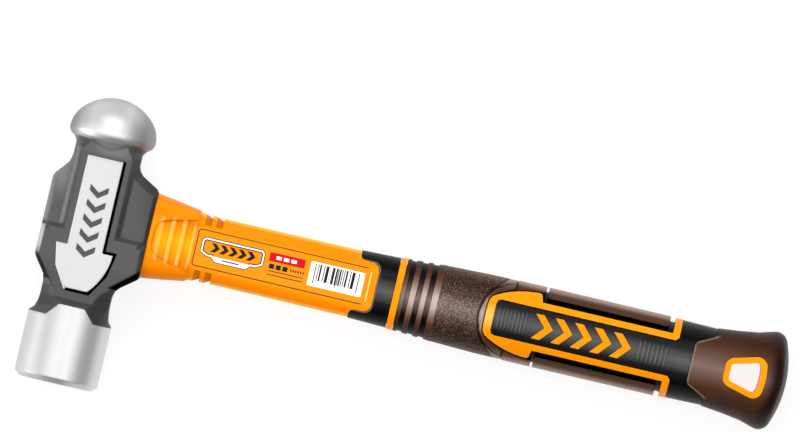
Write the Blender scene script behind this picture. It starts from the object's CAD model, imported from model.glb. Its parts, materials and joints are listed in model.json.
"""Looks for the ball peen hammer. Everything is in metres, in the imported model's frame: the hammer lies on
its side, X along the handle towards the butt, Y along the head towards the ball, Z up.

Materials work in millimetres from the eye's centre, where the head's axis crosses the handle's, which is how
the hammer's own drawing is dimensioned. In them x is the distance from the head's axis, side the distance
from the handle's axis, and depth the distance from the hammer's middle plane, the same on both its halves.
"""

import json
import math

import bpy
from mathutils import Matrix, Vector


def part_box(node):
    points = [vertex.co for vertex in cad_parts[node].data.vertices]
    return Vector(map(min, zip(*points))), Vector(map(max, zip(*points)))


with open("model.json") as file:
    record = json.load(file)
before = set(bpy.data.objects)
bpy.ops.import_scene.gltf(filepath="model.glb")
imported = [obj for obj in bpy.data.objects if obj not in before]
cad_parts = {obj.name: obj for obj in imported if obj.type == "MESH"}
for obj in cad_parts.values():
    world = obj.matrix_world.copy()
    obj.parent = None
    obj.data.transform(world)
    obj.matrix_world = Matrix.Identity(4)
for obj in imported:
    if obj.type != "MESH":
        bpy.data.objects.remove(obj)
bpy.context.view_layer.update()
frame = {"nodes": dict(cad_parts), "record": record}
nodes = frame["nodes"]

MM = 0.001
HEAD_LOW, HEAD_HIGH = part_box("hammer_head")
HEAD_TOP = 17.0 * MM  # head axis to the head's upper end
PEEN_REACH = 44.2 * MM  # handle axis to the ball's apex
EYE = (HEAD_LOW[0] + HEAD_TOP, HEAD_HIGH[1] - PEEN_REACH, (HEAD_LOW[2] + HEAD_HIGH[2]) / 2)
WIDE = 30.0  # mm, further from the handle's axis than the handle reaches


# ---------------------------------------------------------------- node graphs
class Graph:
    """A material's nodes, written as expressions. Sockets and plain numbers mix freely.

    x, y and z are in millimetres from the eye's centre, and vector is all three.
    """

    def __init__(self, name):
        self.material = bpy.data.materials.new(name)
        self.material.use_nodes = True
        self.tree = self.material.node_tree
        self.tree.nodes.clear()
        output = self.node("ShaderNodeOutputMaterial")
        self.shader = self.node("ShaderNodeBsdfPrincipled")
        self.put(output.inputs["Surface"], self.shader.outputs["BSDF"])
        from_eye = self.vector_math("SUBTRACT", self.node("ShaderNodeTexCoord").outputs["Object"], EYE)
        self.vector = self.vector_math("MULTIPLY", from_eye, (1 / MM, 1 / MM, 1 / MM))
        split = self.node("ShaderNodeSeparateXYZ")
        self.put(split.inputs[0], self.vector)
        self.x, self.y, self.z = split.outputs

    def node(self, kind, **settings):
        made = self.tree.nodes.new(kind)
        for key, value in settings.items():
            setattr(made, key, value)
        return made

    def put(self, socket, value):
        if isinstance(value, bpy.types.NodeSocket):
            self.tree.links.new(value, socket)
        else:
            socket.default_value = value

    def put_color(self, socket, value):
        self.put(socket, value if isinstance(value, bpy.types.NodeSocket) else (*value, 1.0))

    def vector_math(self, operation, a, b):
        made = self.node("ShaderNodeVectorMath", operation=operation)
        self.put(made.inputs[0], a)
        self.put(made.inputs[1], b)
        return made.outputs[0]

    def math(self, operation, a, b=0.0):
        made = self.node("ShaderNodeMath", operation=operation)
        self.put(made.inputs[0], a)
        self.put(made.inputs[1], b)
        return made.outputs[0]

    def plus(self, a, b):
        return self.math("ADD", a, b)

    def minus(self, a, b):
        return self.math("SUBTRACT", a, b)

    def times(self, a, b):
        return self.math("MULTIPLY", a, b)

    def size(self, value):
        return self.math("ABSOLUTE", value)

    def lean(self, x, y, part_x, part_y):
        """How far a point lies along a direction, given by its x and y parts."""
        return self.plus(self.times(x, part_x), self.times(y, part_y))

    def ramp(self, value, low, high, to_low=0.0, to_high=1.0, shape="SMOOTHSTEP"):
        made = self.node("ShaderNodeMapRange", interpolation_type=shape, clamp=True)
        for socket, setting in zip(made.inputs, (value, low, high, to_low, to_high)):
            self.put(socket, setting)
        return made.outputs[0]

    def above(self, value, edge, soft=0.05):
        return self.ramp(value, edge - soft, edge + soft)

    def below(self, value, edge, soft=0.05):
        return self.ramp(value, edge - soft, edge + soft, 1.0, 0.0)

    def between(self, value, low, high, soft=0.05):
        return self.both(self.above(value, low, soft), self.below(value, high, soft))

    def both(self, *masks):
        total = masks[0]
        for mask in masks[1:]:
            total = self.times(total, mask)
        return total

    def either(self, *masks):
        total = masks[0]
        for mask in masks[1:]:
            total = self.math("MAXIMUM", total, mask)
        return total

    def flip(self, mask):
        return self.minus(1.0, mask)

    def mix(self, share, a, b):
        """Between two numbers."""
        made = self.node("ShaderNodeMix", data_type="FLOAT")
        self.put(made.inputs["Factor"], share)
        self.put(made.inputs[2], a)
        self.put(made.inputs[3], b)
        return made.outputs[0]

    def paint(self, share, a, b):
        """Between two colours."""
        made = self.node("ShaderNodeMix", data_type="RGBA")
        self.put(made.inputs["Factor"], share)
        self.put_color(made.inputs[6], a)
        self.put_color(made.inputs[7], b)
        return made.outputs[2]

    def tones(self, value, stops):
        """A colour that runs through stops, each (value, colour)."""
        color = stops[0][1]
        for (low, _), (high, tone) in zip(stops, stops[1:]):
            color = self.paint(self.ramp(value, low, high, shape="LINEAR"), color, tone)
        return color

    def noise(self, size_mm, detail=2.0, roughness=0.5, stretch=None):
        """Noise from 0 to 1 whose features are about size_mm across."""
        vector = self.vector_math("MULTIPLY", self.vector, stretch) if stretch else self.vector
        made = self.node("ShaderNodeTexNoise")
        self.put(made.inputs["Vector"], vector)
        made.inputs["Scale"].default_value = 1 / size_mm
        made.inputs["Detail"].default_value = detail
        made.inputs["Roughness"].default_value = roughness
        return made.outputs["Fac"]

    def box_distance(self, x, y, centre, half, radius):
        """Signed distance to a rounded box's edge, in millimetres, negative inside."""
        dx = self.minus(self.size(self.minus(x, centre[0])), half[0] - radius)
        dy = self.minus(self.size(self.minus(y, centre[1])), half[1] - radius)
        ox = self.math("MAXIMUM", dx, 0.0)
        oy = self.math("MAXIMUM", dy, 0.0)
        outer = self.math("SQRT", self.plus(self.times(ox, ox), self.times(oy, oy)))
        inner = self.math("MINIMUM", self.math("MAXIMUM", dx, dy), 0.0)
        return self.minus(self.plus(outer, inner), radius)

    def box(self, x, y, x0, x1, y0, y1, radius=0.05, soft=0.05):
        centre = ((x0 + x1) / 2, (y0 + y1) / 2)
        half = ((x1 - x0) / 2, (y1 - y0) / 2)
        return self.below(self.box_distance(x, y, centre, half, radius), 0.0, soft)

    def outline(self, x, y, sides):
        """Signed distance to a convex outline, negative inside. A side is (x part, y part, reach)."""
        total = None
        for part_x, part_y, reach in sides:
            side = self.minus(self.lean(x, y, part_x, part_y), reach)
            total = side if total is None else self.math("MAXIMUM", total, side)
        return total

    def bars(self, start, pitch, width):
        """Bars of one width that repeat along x."""
        return self.below(self.math("FLOORED_MODULO", self.minus(self.x, start), pitch), width)

    def bump(self, normal, height, depth_mm):
        made = self.node("ShaderNodeBump")
        self.put(made.inputs["Height"], height)
        made.inputs["Distance"].default_value = depth_mm * MM
        made.inputs["Strength"].default_value = 1.0
        self.put(made.inputs["Normal"], normal)
        return made.outputs[0]

    def surface(self, color, roughness, metallic=0.0, height=None, relief_mm=0.05, edge_mm=0.25,
                crown_mm=None, **constants):
        """Fills the shader in. height is a bump from 0 to 1, relief_mm deep, over edges rounded by edge_mm.
        crown_mm is the radius that the flat faces of the handle are crowned to, across it."""
        self.put_color(self.shader.inputs["Base Color"], color)
        self.put(self.shader.inputs["Roughness"], roughness)
        self.put(self.shader.inputs["Metallic"], metallic)
        rounded = self.node("ShaderNodeBevel", samples=6)
        varies = isinstance(edge_mm, bpy.types.NodeSocket)
        self.put(rounded.inputs["Radius"], self.times(edge_mm, MM) if varies else edge_mm * MM)
        normal = rounded.outputs[0]
        if crown_mm is not None:
            normal = self.bump(normal, self.times(self.times(self.y, self.y), -0.5 / crown_mm), 1.0)
        if height is not None:
            normal = self.bump(normal, height, relief_mm)
        self.put(self.shader.inputs["Normal"], normal)
        for name, value in constants.items():
            self.shader.inputs[name.replace("_", " ")].default_value = value
        return self.material


# ---------------------------------------------------------------- colours
def linear(channel):
    """One display channel, 0 to 1, as linear light."""
    return channel / 12.92 if channel <= 0.04045 else ((channel + 0.055) / 1.055) ** 2.4


def srgb(red, green, blue):
    """A display colour, 0 to 255, as linear light."""
    return tuple(linear(channel / 255) for channel in (red, green, blue))


def grey(level):
    return srgb(level, level, level)


def steel(level):
    """Bare steel of a given brightness, from 0 to 1, very slightly blue."""
    return level, level, level * 1.009


def shade(color, factor):
    return tuple(channel * factor for channel in color)


PAINT = srgb(48, 48, 49)
PAINT_RUBBED = grey(112)
PAINT_WORN = grey(160)
PAD = srgb(195, 196, 197)
VOID = grey(2)  # a fold that no light comes out of
STEEL = steel(0.50)
STEEL_DULL = steel(0.27)
ORANGE = srgb(241, 140, 0)
ORANGE_DEEP = srgb(196, 104, 2)
ORANGE_GOLD = srgb(250, 176, 0)
ORANGE_PALE = srgb(255, 206, 110)
BLACK = srgb(14, 15, 16)
BLACK_RUBBED = srgb(96, 98, 98)
BROWN_RIM = srgb(166, 142, 128)
BROWN_DARK = srgb(28, 9, 3)
RED = srgb(198, 4, 18)
WHITE = grey(250)
INK = srgb(30, 22, 18)
INK_BLUE = srgb(24, 26, 92)

# the turned steel's tone across the head: (x, colour). The ball is dull where it turns away.
BALL_TONES = [
    (-14.5, steel(0.22)), (-11.5, steel(0.44)), (-8.0, steel(0.60)), (-3.0, steel(0.56)), (1.0, steel(0.53)),
    (5.0, steel(0.60)), (8.5, steel(0.43)), (11.0, steel(0.30)),
]
POLL_TONES = [
    (-13.0, steel(0.55)), (-8.5, steel(0.43)), (1.0, steel(0.43)), (6.0, steel(0.64)), (10.5, steel(0.53)),
    (13.0, steel(0.66)),
]
# tones across the handle: (side, colour). The jacket is deeper along its shoulders.
ORANGE_TONES = [(6.6, ORANGE), (7.8, srgb(241, 127, 0))]
# the grip is polished paler along its middle, and its rounded edges are rubbed
BLACK_TONES = [(0.0, srgb(84, 84, 83)), (2.0, srgb(68, 68, 67)), (4.5, grey(26)), (8.0, grey(4))]
RIB_TONES = [
    (0.0, srgb(184, 167, 161)), (2.0, srgb(178, 159, 153)), (4.0, srgb(145, 124, 115)),
    (6.0, srgb(112, 86, 76)), (8.0, srgb(84, 54, 42)), (10.5, srgb(66, 34, 22)),
]
GROOVE_TONES = [
    (0.0, srgb(122, 103, 96)), (3.0, srgb(86, 66, 58)), (6.0, srgb(26, 12, 7)), (8.0, srgb(4, 3, 3)),
]
PALM_TONES = [
    (0.0, srgb(184, 161, 153)), (2.0, srgb(164, 140, 131)), (4.5, srgb(117, 89, 77)), (8.0, srgb(82, 52, 39)),
    (10.5, srgb(70, 44, 30)), (12.5, srgb(112, 84, 70)), (14.0, srgb(168, 140, 122)),
]
BOOT_TONES = [
    (0.0, srgb(120, 98, 90)), (3.5, srgb(98, 73, 61)), (7.0, srgb(78, 48, 32)), (9.5, srgb(68, 37, 20)),
    (12.0, srgb(50, 20, 8)),
]
STRIP_TONES = [
    (10.5, srgb(62, 38, 22)), (11.1, srgb(72, 42, 22)), (12.2, srgb(68, 38, 18)), (12.7, srgb(100, 72, 54)),
    (13.3, srgb(138, 110, 94)), (13.9, srgb(150, 124, 110)),
]

# ---------------------------------------------------------------- head
BALL_START = 28.55  # y
POLL_START = -34.75  # y at the sides
POLL_TIP = -30.25  # y in the middle of the front and the back
POLL_SKIN = 14.82  # distance from the head's axis, just inside the poll's radius
FACE_Y = -57.7
PAD_ENDS = (-24.9, 23.5)  # y
PAD_DEPTH = 12.1  # between those ends only the pad is this thick
CHEEK_DEPTH = 11.3  # the cheek's flat is above this and the pockets are below it
SHOULDER_DEPTH = 9.8  # where the black on the shoulders' edges starts
POCKET_WALL = (-11.1, -9.8, -2.6, 25.0)  # the upper pocket's inner wall: x from and to, y from and to
# the badge is a shaft and a broad end. Each side of the end is (part of the distance across, y part, reach).
BADGE_SHAFT = {"centre": (0.0, 3.8), "half": (6.5, 18.8), "radius": 0.05}
BADGE_SIDES = [(0.0, 1.0, -9.4), (0.982, -0.189, 12.05), (0.852, -0.523, 16.65), (0.0, -1.0, 24.7)]
NEAR_SHOULDER = (0.649, -0.761)  # the way that the shoulder next to the poll faces, on the handle's side
FAR_SHOULDER = (-0.798, -0.603)  # and on the other side


def head_paint(g, depth, cloud):
    """The dark paint, rubbed lighter where it is handled or stands proud, darker where dirt stays."""
    x, y = g.x, g.y
    paint = g.paint(g.ramp(cloud, 0.35, 0.65), shade(PAINT, 0.92), shade(PAINT, 1.08))
    # rubbed at the head's upper end, in the upper pocket and along its wall
    upper_end = g.both(g.ramp(x, -14.6, -16.4, 0.0, 0.8), g.above(y, -3.0, 0.5))
    upper_pocket = g.both(g.ramp(x, -9.0, -14.0, 0.0, 0.75), g.ramp(y, 4.0, 15.0))
    pocket_wall = g.times(g.box(x, y, *POCKET_WALL, radius=0.3, soft=0.4), 0.65)
    paint = g.paint(g.either(upper_end, upper_pocket, pocket_wall), paint, PAINT_RUBBED)
    # worn palest at the same end, towards the poll
    worn = g.both(g.ramp(y, -2.8, -5.0), g.ramp(y, -16.0, -11.0))
    worn = g.both(worn, g.below(x, -15.6, 0.3), g.above(depth, 9.9, 0.3))
    paint = g.paint(worn, paint, PAINT_WORN)
    # lighter in the neck under the ball
    paint = g.paint(g.both(g.ramp(depth, 11.4, 12.4), g.above(y, 24.0, 0.3)), paint, PAINT_RUBBED)
    middle = g.ramp(g.size(g.minus(x, 1.5)), 2.0, 8.0, 0.5, 0.0)
    paint = g.paint(g.both(middle, g.above(y, 24.2, 1.3)), paint, PAINT_RUBBED)
    # darkest on the handle's side, most of all towards the ball, and between the badge and the poll
    under = g.both(g.ramp(g.lean(x, y, 1.0, 0.25), 15.5, 21.0, 0.0, 0.85), g.above(x, 11.0, 1.0))
    paint = g.paint(under, paint, BLACK)
    return g.paint(g.ramp(y, -11.0, -21.0, 0.0, 0.6), paint, BLACK)


def head_steel(g, depth, ball):
    """The turned ball and poll, and the ground striking face."""
    turned = g.paint(ball, g.tones(g.x, POLL_TONES), g.tones(g.x, BALL_TONES))
    turned = g.paint(g.below(g.y, FACE_Y), turned, STEEL)
    return g.paint(g.both(ball, g.ramp(depth, 9.5, 1.0, 0.0, 0.6)), turned, STEEL_DULL)


def head_material():
    g = Graph("forged_head")
    x, y, depth = g.x, g.y, g.size(g.z)
    radius = g.math("SQRT", g.plus(g.times(x, x), g.times(g.z, g.z)))
    ball = g.above(y, BALL_START)
    poll = g.below(y, POLL_START)
    tongue = g.both(g.below(y, POLL_TIP), g.above(radius, POLL_SKIN, 0.02))
    bare = g.either(ball, poll, tongue)
    pad = g.both(g.above(depth, PAD_DEPTH, 0.03), g.between(y, *PAD_ENDS))
    cloud = g.noise(9.0, 3.0)
    grain = g.noise(0.45, 3.0, 0.6)
    turning = g.noise(0.5, 2.0, 0.5, stretch=(0.05, 6.0, 0.05))  # long round the axis, fine along it
    color = head_paint(g, depth, cloud)
    color = g.paint(pad, color, g.paint(g.ramp(cloud, 0.3, 0.7), shade(PAD, 0.96), PAD))
    # the badge's skirt is bare away from the handle, and a black fold on the handle's side and the poll's
    shaft = g.box_distance(x, y, **BADGE_SHAFT)
    badge = g.math("MINIMUM", shaft, g.outline(g.size(x), y, BADGE_SIDES))
    skirt = g.both(g.above(badge, -0.6), g.above(depth, CHEEK_DEPTH, 0.1), g.flip(pad))
    fold_side = g.above(g.minus(x, g.times(y, 0.21)), 1.25)
    color = g.paint(g.both(skirt, g.flip(fold_side), g.below(badge, 0.1)), color, PAD)
    fold = g.both(skirt, fold_side, g.below(badge, 0.6, 0.15))
    # the edges of the shoulders next to the poll are black too
    near = g.both(g.ramp(g.lean(x, y, *NEAR_SHOULDER), 22.4, 23.4), g.above(y, -21.3, 0.3))
    far = g.ramp(g.lean(x, y, *FAR_SHOULDER), 20.9, 21.9, 0.0, 0.85)
    far = g.both(far, g.between(y, -22.5, -14.6, 0.5))
    black = g.either(fold, g.both(g.either(near, far), g.above(depth, SHOULDER_DEPTH, 0.2)))
    color = g.paint(black, color, VOID)
    color = g.paint(bare, color, head_steel(g, depth, ball))
    roughness = g.mix(pad, g.mix(cloud, 0.38, 0.46), 0.42)
    roughness = g.mix(bare, roughness, g.mix(ball, g.mix(turning, 0.40, 0.46), 0.48))
    height = g.mix(bare, grain, g.mix(ball, g.times(turning, 0.5), 0.0))
    # the black edges are metallic as well, so that they reflect nothing
    metal = g.either(bare, black)
    return g.surface(color, roughness, metal, height, relief_mm=0.012, edge_mm=0.9, Specular_IOR_Level=0.5)


# ---------------------------------------------------------------- orange plastic
WARM_GLOSS = {"Specular_IOR_Level": 0.4, "Specular_Tint": (1.0, 0.55, 0.08, 1.0)}
JACKET_END = 103.0  # x
JACKET_FRONT = 37.0  # x where the collar ends and the shank starts
NOTCHES = [(38.6, 40.85), (42.6, 44.85)]  # x from and to
NOTCH_SIDE = 8.1  # side where they start
CREST_START = 24.0  # x of the first crest on the thumb recess's wavy floor
CREST_PITCH = 3.97
TONGUE = (22.6, 36.6, -1.0, 8.0)  # the recess's floor: x from and to, side from and to
# the recess's outline: (x part, y part, reach) of each side, as unit normals
TONGUE_SIDES = [
    (-1, 0, -22.0), (-0.964, 0.268, -20.5), (-0.707, 0.707, -12.8),
    (-0.309, 0.951, -1.66), (-0.223, 0.975, 0.9), (-0.174, 0.985, 2.52),
]
RIDGE = (98.9, 99.5, -1.0, 5.4)  # the thin ridge across the jacket's end
NOSE = (140.4, 144.4)  # x from and to of the grip frame's nose


def orange_material():
    g = Graph("orange_moulding")
    x, side, depth = g.x, g.size(g.y), g.size(g.z)
    cloud = g.noise(14.0, 2.0)
    grain = g.noise(0.35, 2.0)
    color = g.paint(g.below(x, JACKET_END), ORANGE, g.tones(side, ORANGE_TONES))
    rounded_edge = g.both(g.ramp(side, 10.4, 11.4, 0.0, 0.8), g.between(x, JACKET_FRONT, JACKET_END))
    color = g.paint(rounded_edge, color, ORANGE_GOLD)
    color = g.paint(g.ramp(cloud, 0.3, 0.7, 0.0, 0.06), color, ORANGE_DEEP)
    notches = g.either(*(g.box(x, side, low, high, NOTCH_SIDE, WIDE) for low, high in NOTCHES))
    color = g.paint(notches, color, ORANGE_DEEP)
    # the recess's floor is deeper towards its sides, golden along its middle and pale on its crests
    tongue = g.both(g.box(x, side, *TONGUE, radius=3.0, soft=0.8), g.above(depth, 7.3, 0.2))
    color = g.paint(g.both(tongue, g.ramp(side, 4.5, 7.5, 0.0, 0.5)), color, ORANGE_DEEP)
    color = g.paint(g.both(tongue, g.ramp(side, 5.0, 0.5, 0.0, 0.6)), color, ORANGE_GOLD)
    phase = g.times(g.minus(x, CREST_START), 2 * math.pi / CREST_PITCH)
    crests = g.ramp(g.math("COSINE", phase), 0.0, 1.0)
    color = g.paint(g.times(g.both(crests, tongue), 0.5), color, ORANGE_PALE)
    recess = g.outline(x, side, TONGUE_SIDES)
    rim = g.both(g.between(recess, -0.1, 0.35, 0.12), g.below(x, 36.2), g.above(depth, 6.5, 0.3))
    color = g.paint(g.times(rim, 0.75), color, ORANGE_DEEP)
    ridge = g.both(g.box(x, side, *RIDGE, radius=0.3), g.above(depth, 7.8))
    color = g.paint(ridge, color, ORANGE_PALE)
    nose = g.both(g.between(x, *NOSE), g.ramp(side, 5.2, 0.6, 0.0, 0.55), g.above(depth, 10.5, 0.3))
    color = g.paint(nose, color, ORANGE_PALE)
    return g.surface(color, g.mix(grain, 0.30, 0.40), 0.0, grain, relief_mm=0.01, edge_mm=0.3, **WARM_GLOSS)


# ---------------------------------------------------------------- label, as x from and to, y from and to
LABEL_FRAME = {"centre": (67.75, 0.0), "half": (30.65, 6.6), "radius": 1.0}
LABEL_OPEN = 97.9  # x where the frame's line stops
BADGE_X = 50.3
# the label's badge is a body and a foot. Each side is (part of the distance across, y part, reach).
BADGE_BODY = [(1, 0, 11.1), (0, 1, 3.95), (0, -1, 2.3), (0.45, -0.9, 6.0), (0.7, 0.7, 9.9)]
BADGE_FOOT = [(0, -1, 3.8), (0.7, -0.7, 6.5), (0, 1, 0.0)]
MARK_Y = 1.0
MARK_PITCH = 3.2
MARK_WIDTH = 1.7
MARKS = 5
MARKS_START = 44.0  # x of the first mark's tip, on its hollow side
MARKS_BOX = (41.0, 60.0, -0.6, 2.6)
FOOT_LINE = (47.2, 53.4, -3.0, -2.55)
RED_TAG = (63.2, 75.9, 1.05, 4.2)
TAG_BARS = (65.6, 73.2, 2.05, 3.2)
SQUARES = (63.7, 70.4, -1.5, 0.2)
TICKS = (71.2, 76.2, -1.0, -0.2)
RULES = [(63.7, 76.2, -2.5, -2.2), (63.7, 76.2, -3.8, -3.5)]
WHITE_BLOCK = (77.9, 97.2, -4.2, 4.4)
STRIPES = (80.6, 94.8, -2.1, 3.8)
TALL_STRIPES = (79.6, 95.6, -3.1, 3.8)


def label_badge(g, color):
    """A plain badge: a white rim between dark lines, five chevrons and a white foot."""
    x, y = g.x, g.y
    across = g.size(g.minus(x, BADGE_X))
    badge = g.math("MINIMUM", g.outline(across, y, BADGE_BODY), g.outline(across, y, BADGE_FOOT))
    color = g.paint(g.between(badge, -0.95, 0.3), color, INK)
    color = g.paint(g.between(badge, -0.55, 0.0), color, WHITE)
    slant = g.plus(x, g.size(g.minus(y, MARK_Y)))
    cell = g.math("FLOORED_MODULO", g.minus(slant, MARKS_START), MARK_PITCH)
    last = MARKS_START + (MARKS - 1) * MARK_PITCH + MARK_WIDTH
    marks = g.both(g.below(cell, MARK_WIDTH), g.between(slant, MARKS_START - 0.1, last + 0.1))
    color = g.paint(g.both(marks, g.box(x, y, *MARKS_BOX)), color, INK)
    color = g.paint(g.both(g.below(badge, 0.0), g.below(y, -2.0)), color, WHITE)
    return g.paint(g.box(x, y, *FOOT_LINE), color, INK_BLUE)


def label_material():
    g = Graph("shank_label")
    x, y = g.x, g.y
    frame_edge = g.box_distance(x, y, **LABEL_FRAME)
    line = g.both(g.above(frame_edge, -0.3, 0.04), g.below(x, LABEL_OPEN, 0.2))
    color = label_badge(g, g.paint(line, ORANGE, INK))
    color = g.paint(g.box(x, y, *RED_TAG, radius=0.3), color, RED)
    color = g.paint(g.both(g.bars(TAG_BARS[0], 2.7, 1.9), g.box(x, y, *TAG_BARS)), color, WHITE)
    squares = g.both(g.bars(SQUARES[0], 2.4, 1.8), g.box(x, y, *SQUARES))
    ticks = g.both(g.bars(TICKS[0], 0.9, 0.5), g.box(x, y, *TICKS))
    rules = g.either(*(g.box(x, y, *rule) for rule in RULES))
    color = g.paint(g.either(squares, ticks, rules), color, INK)
    # uneven stripes that stand for nothing: three sets of bars over each other
    color = g.paint(g.box(x, y, *WHITE_BLOCK, radius=0.3), color, WHITE)
    fine = g.both(g.bars(STRIPES[0], 0.72, 0.34), g.flip(g.bars(82.0, 3.1, 0.6)))
    stripes = g.both(g.either(fine, g.bars(81.3, 2.35, 0.62)), g.box(x, y, *STRIPES))
    tall = g.both(g.bars(TALL_STRIPES[0], 7.75, 0.35), g.box(x, y, *TALL_STRIPES))
    color = g.paint(g.either(stripes, tall), color, INK)
    roughness = g.mix(g.noise(0.8), 0.28, 0.34)
    film = {"relief_mm": 0.01, "edge_mm": 0.05, "Specular_IOR_Level": 0.06}
    return g.surface(color, roughness, 0.0, g.noise(3.0), **film)


# ---------------------------------------------------------------- black and brown grip
SOFT_GLOSS = {"crown_mm": 30.0, "Specular_IOR_Level": 0.05}
# the ribs at both ends of the grip's panel: (x from, x to, pitch)
PANEL_RIBS = [(145.5, 155.6, 1.36), (196.0, 206.0, 1.555)]
RIB_START = 0.2  # from the field's end to its first crest
CREST_WIDTH = 0.4
JACKET_SEAT = {"centre": (60.0, 0.0), "half": (41.9, 8.9), "radius": 2.6}  # the jacket's end in the collar
COLLAR_LIP = (95.2, JACKET_END)  # x from and to
GROOVES = ((112.15, 113.9), (116.0, 117.95), (119.8, 121.75))  # x from and to, at the sleeve's front
PALM_START = 123.9  # x
PALM_MIDDLE = 130.0  # x behind which the whole sleeve has the palm zone's tones
PALM_END = 138.3  # x at the handle's axis. The palm zone's rear edge curves back from there.
PALM_CURVE = 0.04  # per mm
PALM_BEAD = 0.5  # mm across
SLEEVE_REAR = [(-1, 0, -140.75), (-0.688, 0.726, -92.87), (-0.395, 0.919, -49.05)]
BOOT_X = 210.0  # between the edge strips and the boot
BOOT_FRONT = [(-1, 0, -215.0), (-0.453, 0.891, -90.8)]


def black_material():
    g = Graph("black_moulding")
    x, side, depth = g.x, g.size(g.y), g.size(g.z)
    grain = g.noise(0.3, 3.0, 0.6)
    cloud = g.noise(12.0, 2.0)
    color = g.paint(g.ramp(cloud, 0.3, 0.7, 0.0, 0.12), g.tones(side, BLACK_TONES), BLACK)
    # the ribs are rubbed lighter along their crests
    fields = []
    for low, high, pitch in PANEL_RIBS:
        fields.append(g.both(g.bars(low + RIB_START, pitch, CREST_WIDTH), g.between(x, low, high)))
    fade = g.both(g.ramp(side, 1.5, 4.4, 1.0, 0.0), g.above(depth, 10.9, 0.1))
    color = g.paint(g.both(g.either(*fields), fade), color, BLACK_RUBBED)
    # and so is the collar's lip round the end of the orange jacket
    seat = g.box_distance(x, g.y, **JACKET_SEAT)
    color = g.paint(g.both(g.below(seat, 0.3), g.between(x, *COLLAR_LIP)), color, BLACK_RUBBED)
    return g.surface(color, g.mix(grain, 0.26, 0.34), 0.0, grain, relief_mm=0.008, edge_mm=0.3, **SOFT_GLOSS)


def clouded(g, color):
    """The brown rubber's faint darker clouds."""
    return g.paint(g.ramp(g.noise(10.0, 2.0), 0.3, 0.7, 0.0, 0.1), color, BLACK)


def rubber_material():
    """The edge strips and pads, and the boot."""
    g = Graph("brown_soft_grip")
    x, side = g.x, g.size(g.y)
    grain = g.noise(0.3, 3.0, 0.6)
    boot = g.above(x, BOOT_X)
    # the boot is darkest where it turns down at its end, and pale along its front edge
    boot_tone = g.paint(g.ramp(x, 239.5, 246.0, 0.0, 0.97), g.tones(side, BOOT_TONES), BROWN_DARK)
    lip = g.outline(x, side, BOOT_FRONT)
    lip = g.both(g.ramp(lip, -0.8, -0.1, 0.0, 0.45), g.below(side, 11.0, 0.5))
    color = g.paint(boot, g.tones(side, STRIP_TONES), g.paint(lip, boot_tone, BROWN_RIM))
    roughness = g.mix(grain, 0.32, 0.4)
    edge_mm = g.mix(boot, 0.1, 0.35)
    return g.surface(clouded(g, color), roughness, 0.0, grain, relief_mm=0.015, edge_mm=edge_mm, **SOFT_GLOSS)


def sleeve_material():
    """The ring ribs and the pebbled palm zone."""
    g = Graph("brown_palm_sleeve")
    x, side = g.x, g.size(g.y)
    grain = g.noise(0.3, 3.0, 0.6)
    # the ribs, darker in front of the first groove, and the grooves between them
    color = g.paint(g.ramp(x, 113.4, 111.4, 0.0, 0.62), g.tones(side, RIB_TONES), BROWN_DARK)
    grooves = g.either(*(g.box(x, g.y, low, high, -WIDE, WIDE, 0.02, 0.08) for low, high in GROOVES))
    color = g.paint(grooves, color, g.tones(side, GROOVE_TONES))
    cells = g.node("ShaderNodeTexVoronoi", feature="SMOOTH_F1")
    g.put(cells.inputs["Vector"], g.vector)
    cells.inputs["Scale"].default_value = 1 / PALM_BEAD
    cells.inputs["Smoothness"].default_value = 0.3
    bead = g.ramp(cells.outputs["Distance"], 0.1, 0.6, 1.0, 0.0)
    back = g.minus(x, g.times(g.times(g.y, g.y), PALM_CURVE))
    palm = g.both(g.above(x, PALM_START, 0.3), g.below(back, PALM_END, 0.15))
    behind = g.above(x, PALM_MIDDLE)
    palm_tone = g.tones(side, PALM_TONES)
    sunk = g.both(palm, g.flip(bead))
    pebbled = g.paint(sunk, palm_tone, g.paint(0.72, palm_tone, BLACK))
    color = g.paint(g.either(palm, behind), color, pebbled)
    color = g.paint(g.both(palm, g.ramp(bead, 0.5, 1.0, 0.0, 0.35)), color, BROWN_RIM)
    # behind the palm zone a dark fold, and a rim round the frame's nose that is pale in the middle
    fold = g.both(g.between(back, PALM_END - 0.05, PALM_END + 0.8, 0.15), behind)
    color = g.paint(g.times(fold, 0.9), color, BROWN_DARK)
    rim_tone = g.paint(g.ramp(side, 3.5, 8.5, 0.0, 0.92), BROWN_RIM, BROWN_DARK)
    color = g.paint(g.ramp(g.outline(x, side, SLEEVE_REAR), 0.9, 0.1), color, rim_tone)
    roughness = g.mix(palm, g.mix(grain, 0.32, 0.4), 0.52)
    height = g.mix(palm, g.times(grain, 0.15), bead)
    return g.surface(clouded(g, color), roughness, 0.0, height, relief_mm=0.12, edge_mm=0.25, **SOFT_GLOSS)


# ---------------------------------------------------------------- core and potting
def core_material():
    g = Graph("sawn_fibreglass")
    strands = g.noise(0.25, 2.0, 0.6)
    rings = g.noise(2.0, 2.0)
    color = g.paint(strands, srgb(150, 138, 96), srgb(206, 196, 152))
    color = g.paint(g.ramp(rings, 0.4, 0.7, 0.0, 0.4), color, srgb(120, 110, 76))
    return g.surface(color, g.mix(strands, 0.5, 0.7), 0.0, strands, relief_mm=0.06, edge_mm=0.2)


def epoxy_material():
    g = Graph("cast_epoxy")
    bubbles = g.noise(1.2, 2.0)
    color = g.paint(g.ramp(bubbles, 0.4, 0.7), srgb(36, 35, 33), srgb(58, 56, 52))
    return g.surface(color, g.mix(bubbles, 0.18, 0.3), 0.0, bubbles, relief_mm=0.08, edge_mm=0.2)


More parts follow.
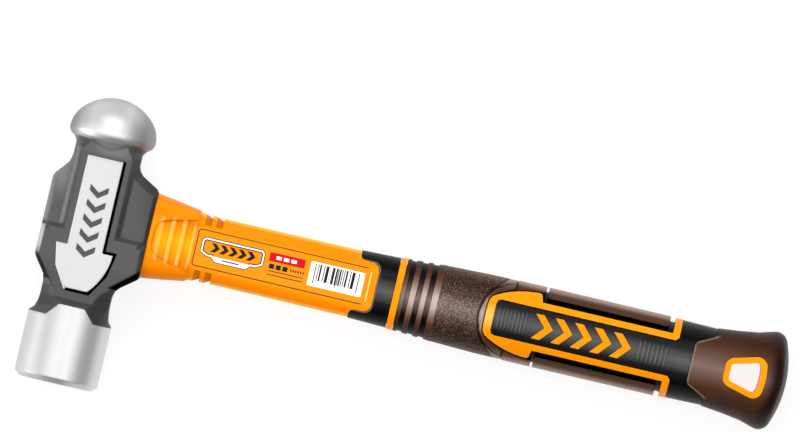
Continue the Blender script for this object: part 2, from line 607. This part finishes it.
BY_SLOT = {
    "head_steel": head_material(),
    "fibreglass": core_material(),
    "epoxy": epoxy_material(),
    "orange_plastic": orange_material(),
    "label_film": label_material(),
    "black_plastic": black_material(),
    "brown_rubber": rubber_material(),
    "brown_rubber_textured": sleeve_material(),
}
for part in frame["record"]["subparts"]:
    node = nodes[part["node"]]
    node.data.materials.clear()
    node.data.materials.append(BY_SLOT[part["material_slot"]])

# ---------------------------------------------------------------- stage
FLOOR_SIZE = 6.0
FLOOR_GLOW = 0.84  # keeps the floor pale where the hammer shades it


def floor_material():
    g = Graph("pale_floor")
    pale = g.paint(g.noise(400.0), grey(110), grey(112))
    return g.surface(pale, 0.9, Emission_Color=(1.0, 1.0, 1.0, 1.0), Emission_Strength=FLOOR_GLOW)


bpy.ops.mesh.primitive_plane_add(size=FLOOR_SIZE, location=(0, 0, 0))
floor = bpy.context.object
floor.name = "floor"
floor.data.materials.append(floor_material())

BRIGHTEST = (-0.85, 0.53, 0.0)  # the way to the world's brightest side, past the head's far left
# how the world's light changes with direction: (low, high, strength at low, strength at high)
ALONG_BRIGHTEST = (-1.0, 1.0, 0.5, 0.86)
ALONG_Y = (-0.95, 0.1, 0.3, 1.0)  # darker past the striking face


def light_world():
    """Soft white light all round, brighter from the far left than from the near right."""
    world = bpy.data.worlds.new("studio")
    bpy.context.scene.world = world
    world.use_nodes = True
    made, links = world.node_tree.nodes, world.node_tree.links
    direction = made.new("ShaderNodeTexCoord").outputs["Generated"]
    towards = made.new("ShaderNodeVectorMath")
    towards.operation = "DOT_PRODUCT"
    towards.inputs[1].default_value = BRIGHTEST
    split = made.new("ShaderNodeSeparateXYZ")
    product = made.new("ShaderNodeMath")
    product.operation = "MULTIPLY"
    links.new(direction, towards.inputs[0])
    links.new(direction, split.inputs[0])
    sources = ((towards.outputs["Value"], ALONG_BRIGHTEST), (split.outputs["Y"], ALONG_Y))
    for factor, (source, settings) in zip(product.inputs, sources):
        shaded = made.new("ShaderNodeMapRange")
        for socket, value in zip(shaded.inputs[1:5], settings):
            socket.default_value = value
        links.new(source, shaded.inputs["Value"])
        links.new(shaded.outputs["Result"], factor)
    background = made["Background"]
    background.inputs["Color"].default_value = (1.0, 1.0, 1.0, 1.0)
    links.new(product.outputs[0], background.inputs["Strength"])


def softbox(name, place, aim, size, radiance):
    """A rectangular lamp of one brightness all over its face."""
    data = bpy.data.lights.new(name, "AREA")
    data.shape = "RECTANGLE"
    data.size, data.size_y = size
    data.energy = math.pi * size[0] * size[1] * radiance
    lamp = bpy.data.objects.new(name, data)
    bpy.context.collection.objects.link(lamp)
    lamp.location = place
    lamp.rotation_euler = (Vector(aim) - Vector(place)).to_track_quat("-Z", "Y").to_euler()


light_world()
# name, place, what it points at, width and height, radiance
softbox("overhead", (-0.2, -0.04, 1.2), (-0.2, -0.04, 0.0), (1.7, 0.5), 3.1)
softbox("left_fill", (-1.3, -0.3, 0.75), (-0.1, -0.1, 0.02), (1.2, 0.6), 1.0)
softbox("left_strip", (-1.4, -1.05, 0.2), (-0.1, -1.05, 0.02), (1.8, 0.42), 6.0)
softbox("back_fill", (-0.16, 0.9, 0.95), (-0.14, 0.03, 0.02), (0.9, 1.0), 2.8)

# ---------------------------------------------------------------- camera
VIEW_WIDTH = 280.0 * MM  # what the picture takes in at the hammer's middle height
VIEW_CENTRE = (EYE[0] + 104.3 * MM, EYE[1] + 26.7 * MM)  # the middle of the picture
VIEW_TURN = math.radians(13.2)  # the handle slopes down to the right by this much
DISTANCE = 6.0  # far off, so that the view is almost parallel
camera_data = bpy.data.cameras.new("camera")
camera_data.sensor_width = 36.0
camera_data.lens = camera_data.sensor_width * DISTANCE / VIEW_WIDTH
camera_data.clip_end = 20.0
camera = bpy.data.objects.new("camera", camera_data)
bpy.context.collection.objects.link(camera)
camera.location = (*VIEW_CENTRE, EYE[2] + DISTANCE)
camera.rotation_euler = (0.0, 0.0, VIEW_TURN)
bpy.context.scene.camera = camera
bpy.context.scene.view_settings.view_transform = "Standard"
